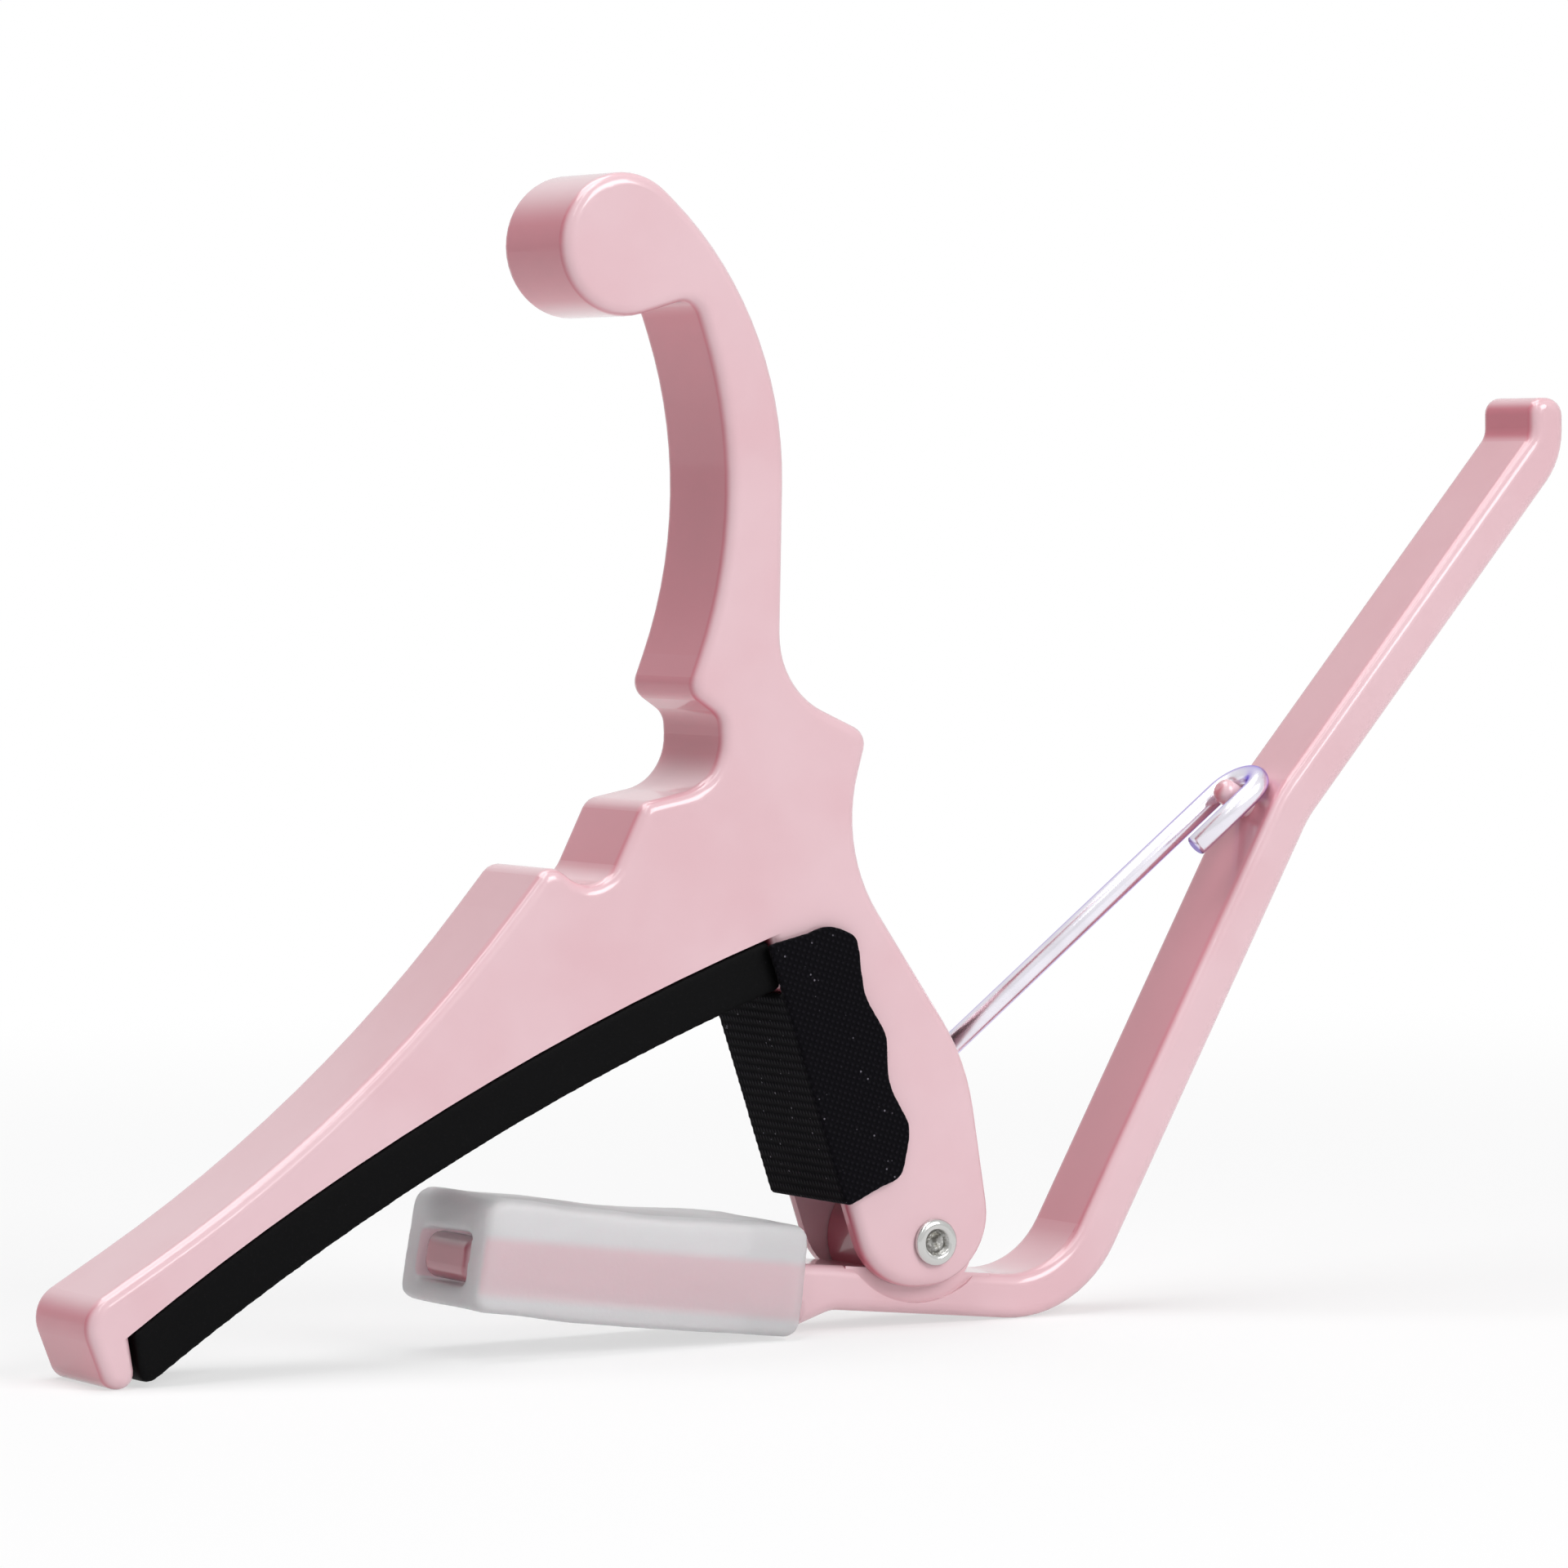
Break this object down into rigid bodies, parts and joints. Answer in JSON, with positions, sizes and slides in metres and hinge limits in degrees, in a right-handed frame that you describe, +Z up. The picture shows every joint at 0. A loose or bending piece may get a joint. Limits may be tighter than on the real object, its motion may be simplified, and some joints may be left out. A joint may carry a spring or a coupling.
{
  "type": "guitar capo",
  "caption": "Spring capo for a guitar neck: curved arm with thumb lever and rubber pad, a pivoting lower arm with handle and soft sleeve, and a torsion spring in a cloth-wrapped fork.",
  "frame": {"origin": "middle of the underside of the whole capo, on the surface it stands on", "axes": "+X towards the squeeze handle, +Y along the rivet away from the viewer, +Z up"},
  "size_m": [0.124, 0.0122, 0.0829],
  "materials": {
    "paint": "gloss pink paint over a die-cast arm",
    "nickel": "bright nickel plate",
    "steel": "plain turned steel",
    "wire": "bright drawn spring wire",
    "pad_rubber": "matte black rubber",
    "sleeve_silicone": "frosted translucent silicone",
    "cloth": "ribbed black woven cloth"
  },
  "bodies": {
    "upper_arm": {"upper_arm": "paint", "pivot_rivet": "nickel", "spring_pin": "steel", "spring_coil": "wire", "string_pad": "pad_rubber", "fork_wrap": "cloth"},
    "lower_arm": {"lower_arm": "paint", "neck_sleeve": "sleeve_silicone"},
    "spring_leg": {"spring_leg": "wire"}
  },
  "joints": [
    {"name": "handle_squeeze", "type": "hinge", "parent": "upper_arm", "child": "lower_arm", "pos_m": [0.00477, 0, 0.0062], "axis": [0, -1, 0], "range_deg": [0, 28], "stiffness_Nm_per_rad": 0.5, "springref_deg": -51.57},
    {"name": "spring_turn", "type": "hinge", "parent": "upper_arm", "child": "spring_leg", "pos_m": [-0.00003, 0, 0.0154], "axis": [0, -1, 0], "range_deg": [0, 33]}
  ],
  "couplings": [
    {"joint": "spring_turn", "follows": "handle_squeeze", "ratio": 1.14}
  ]
}
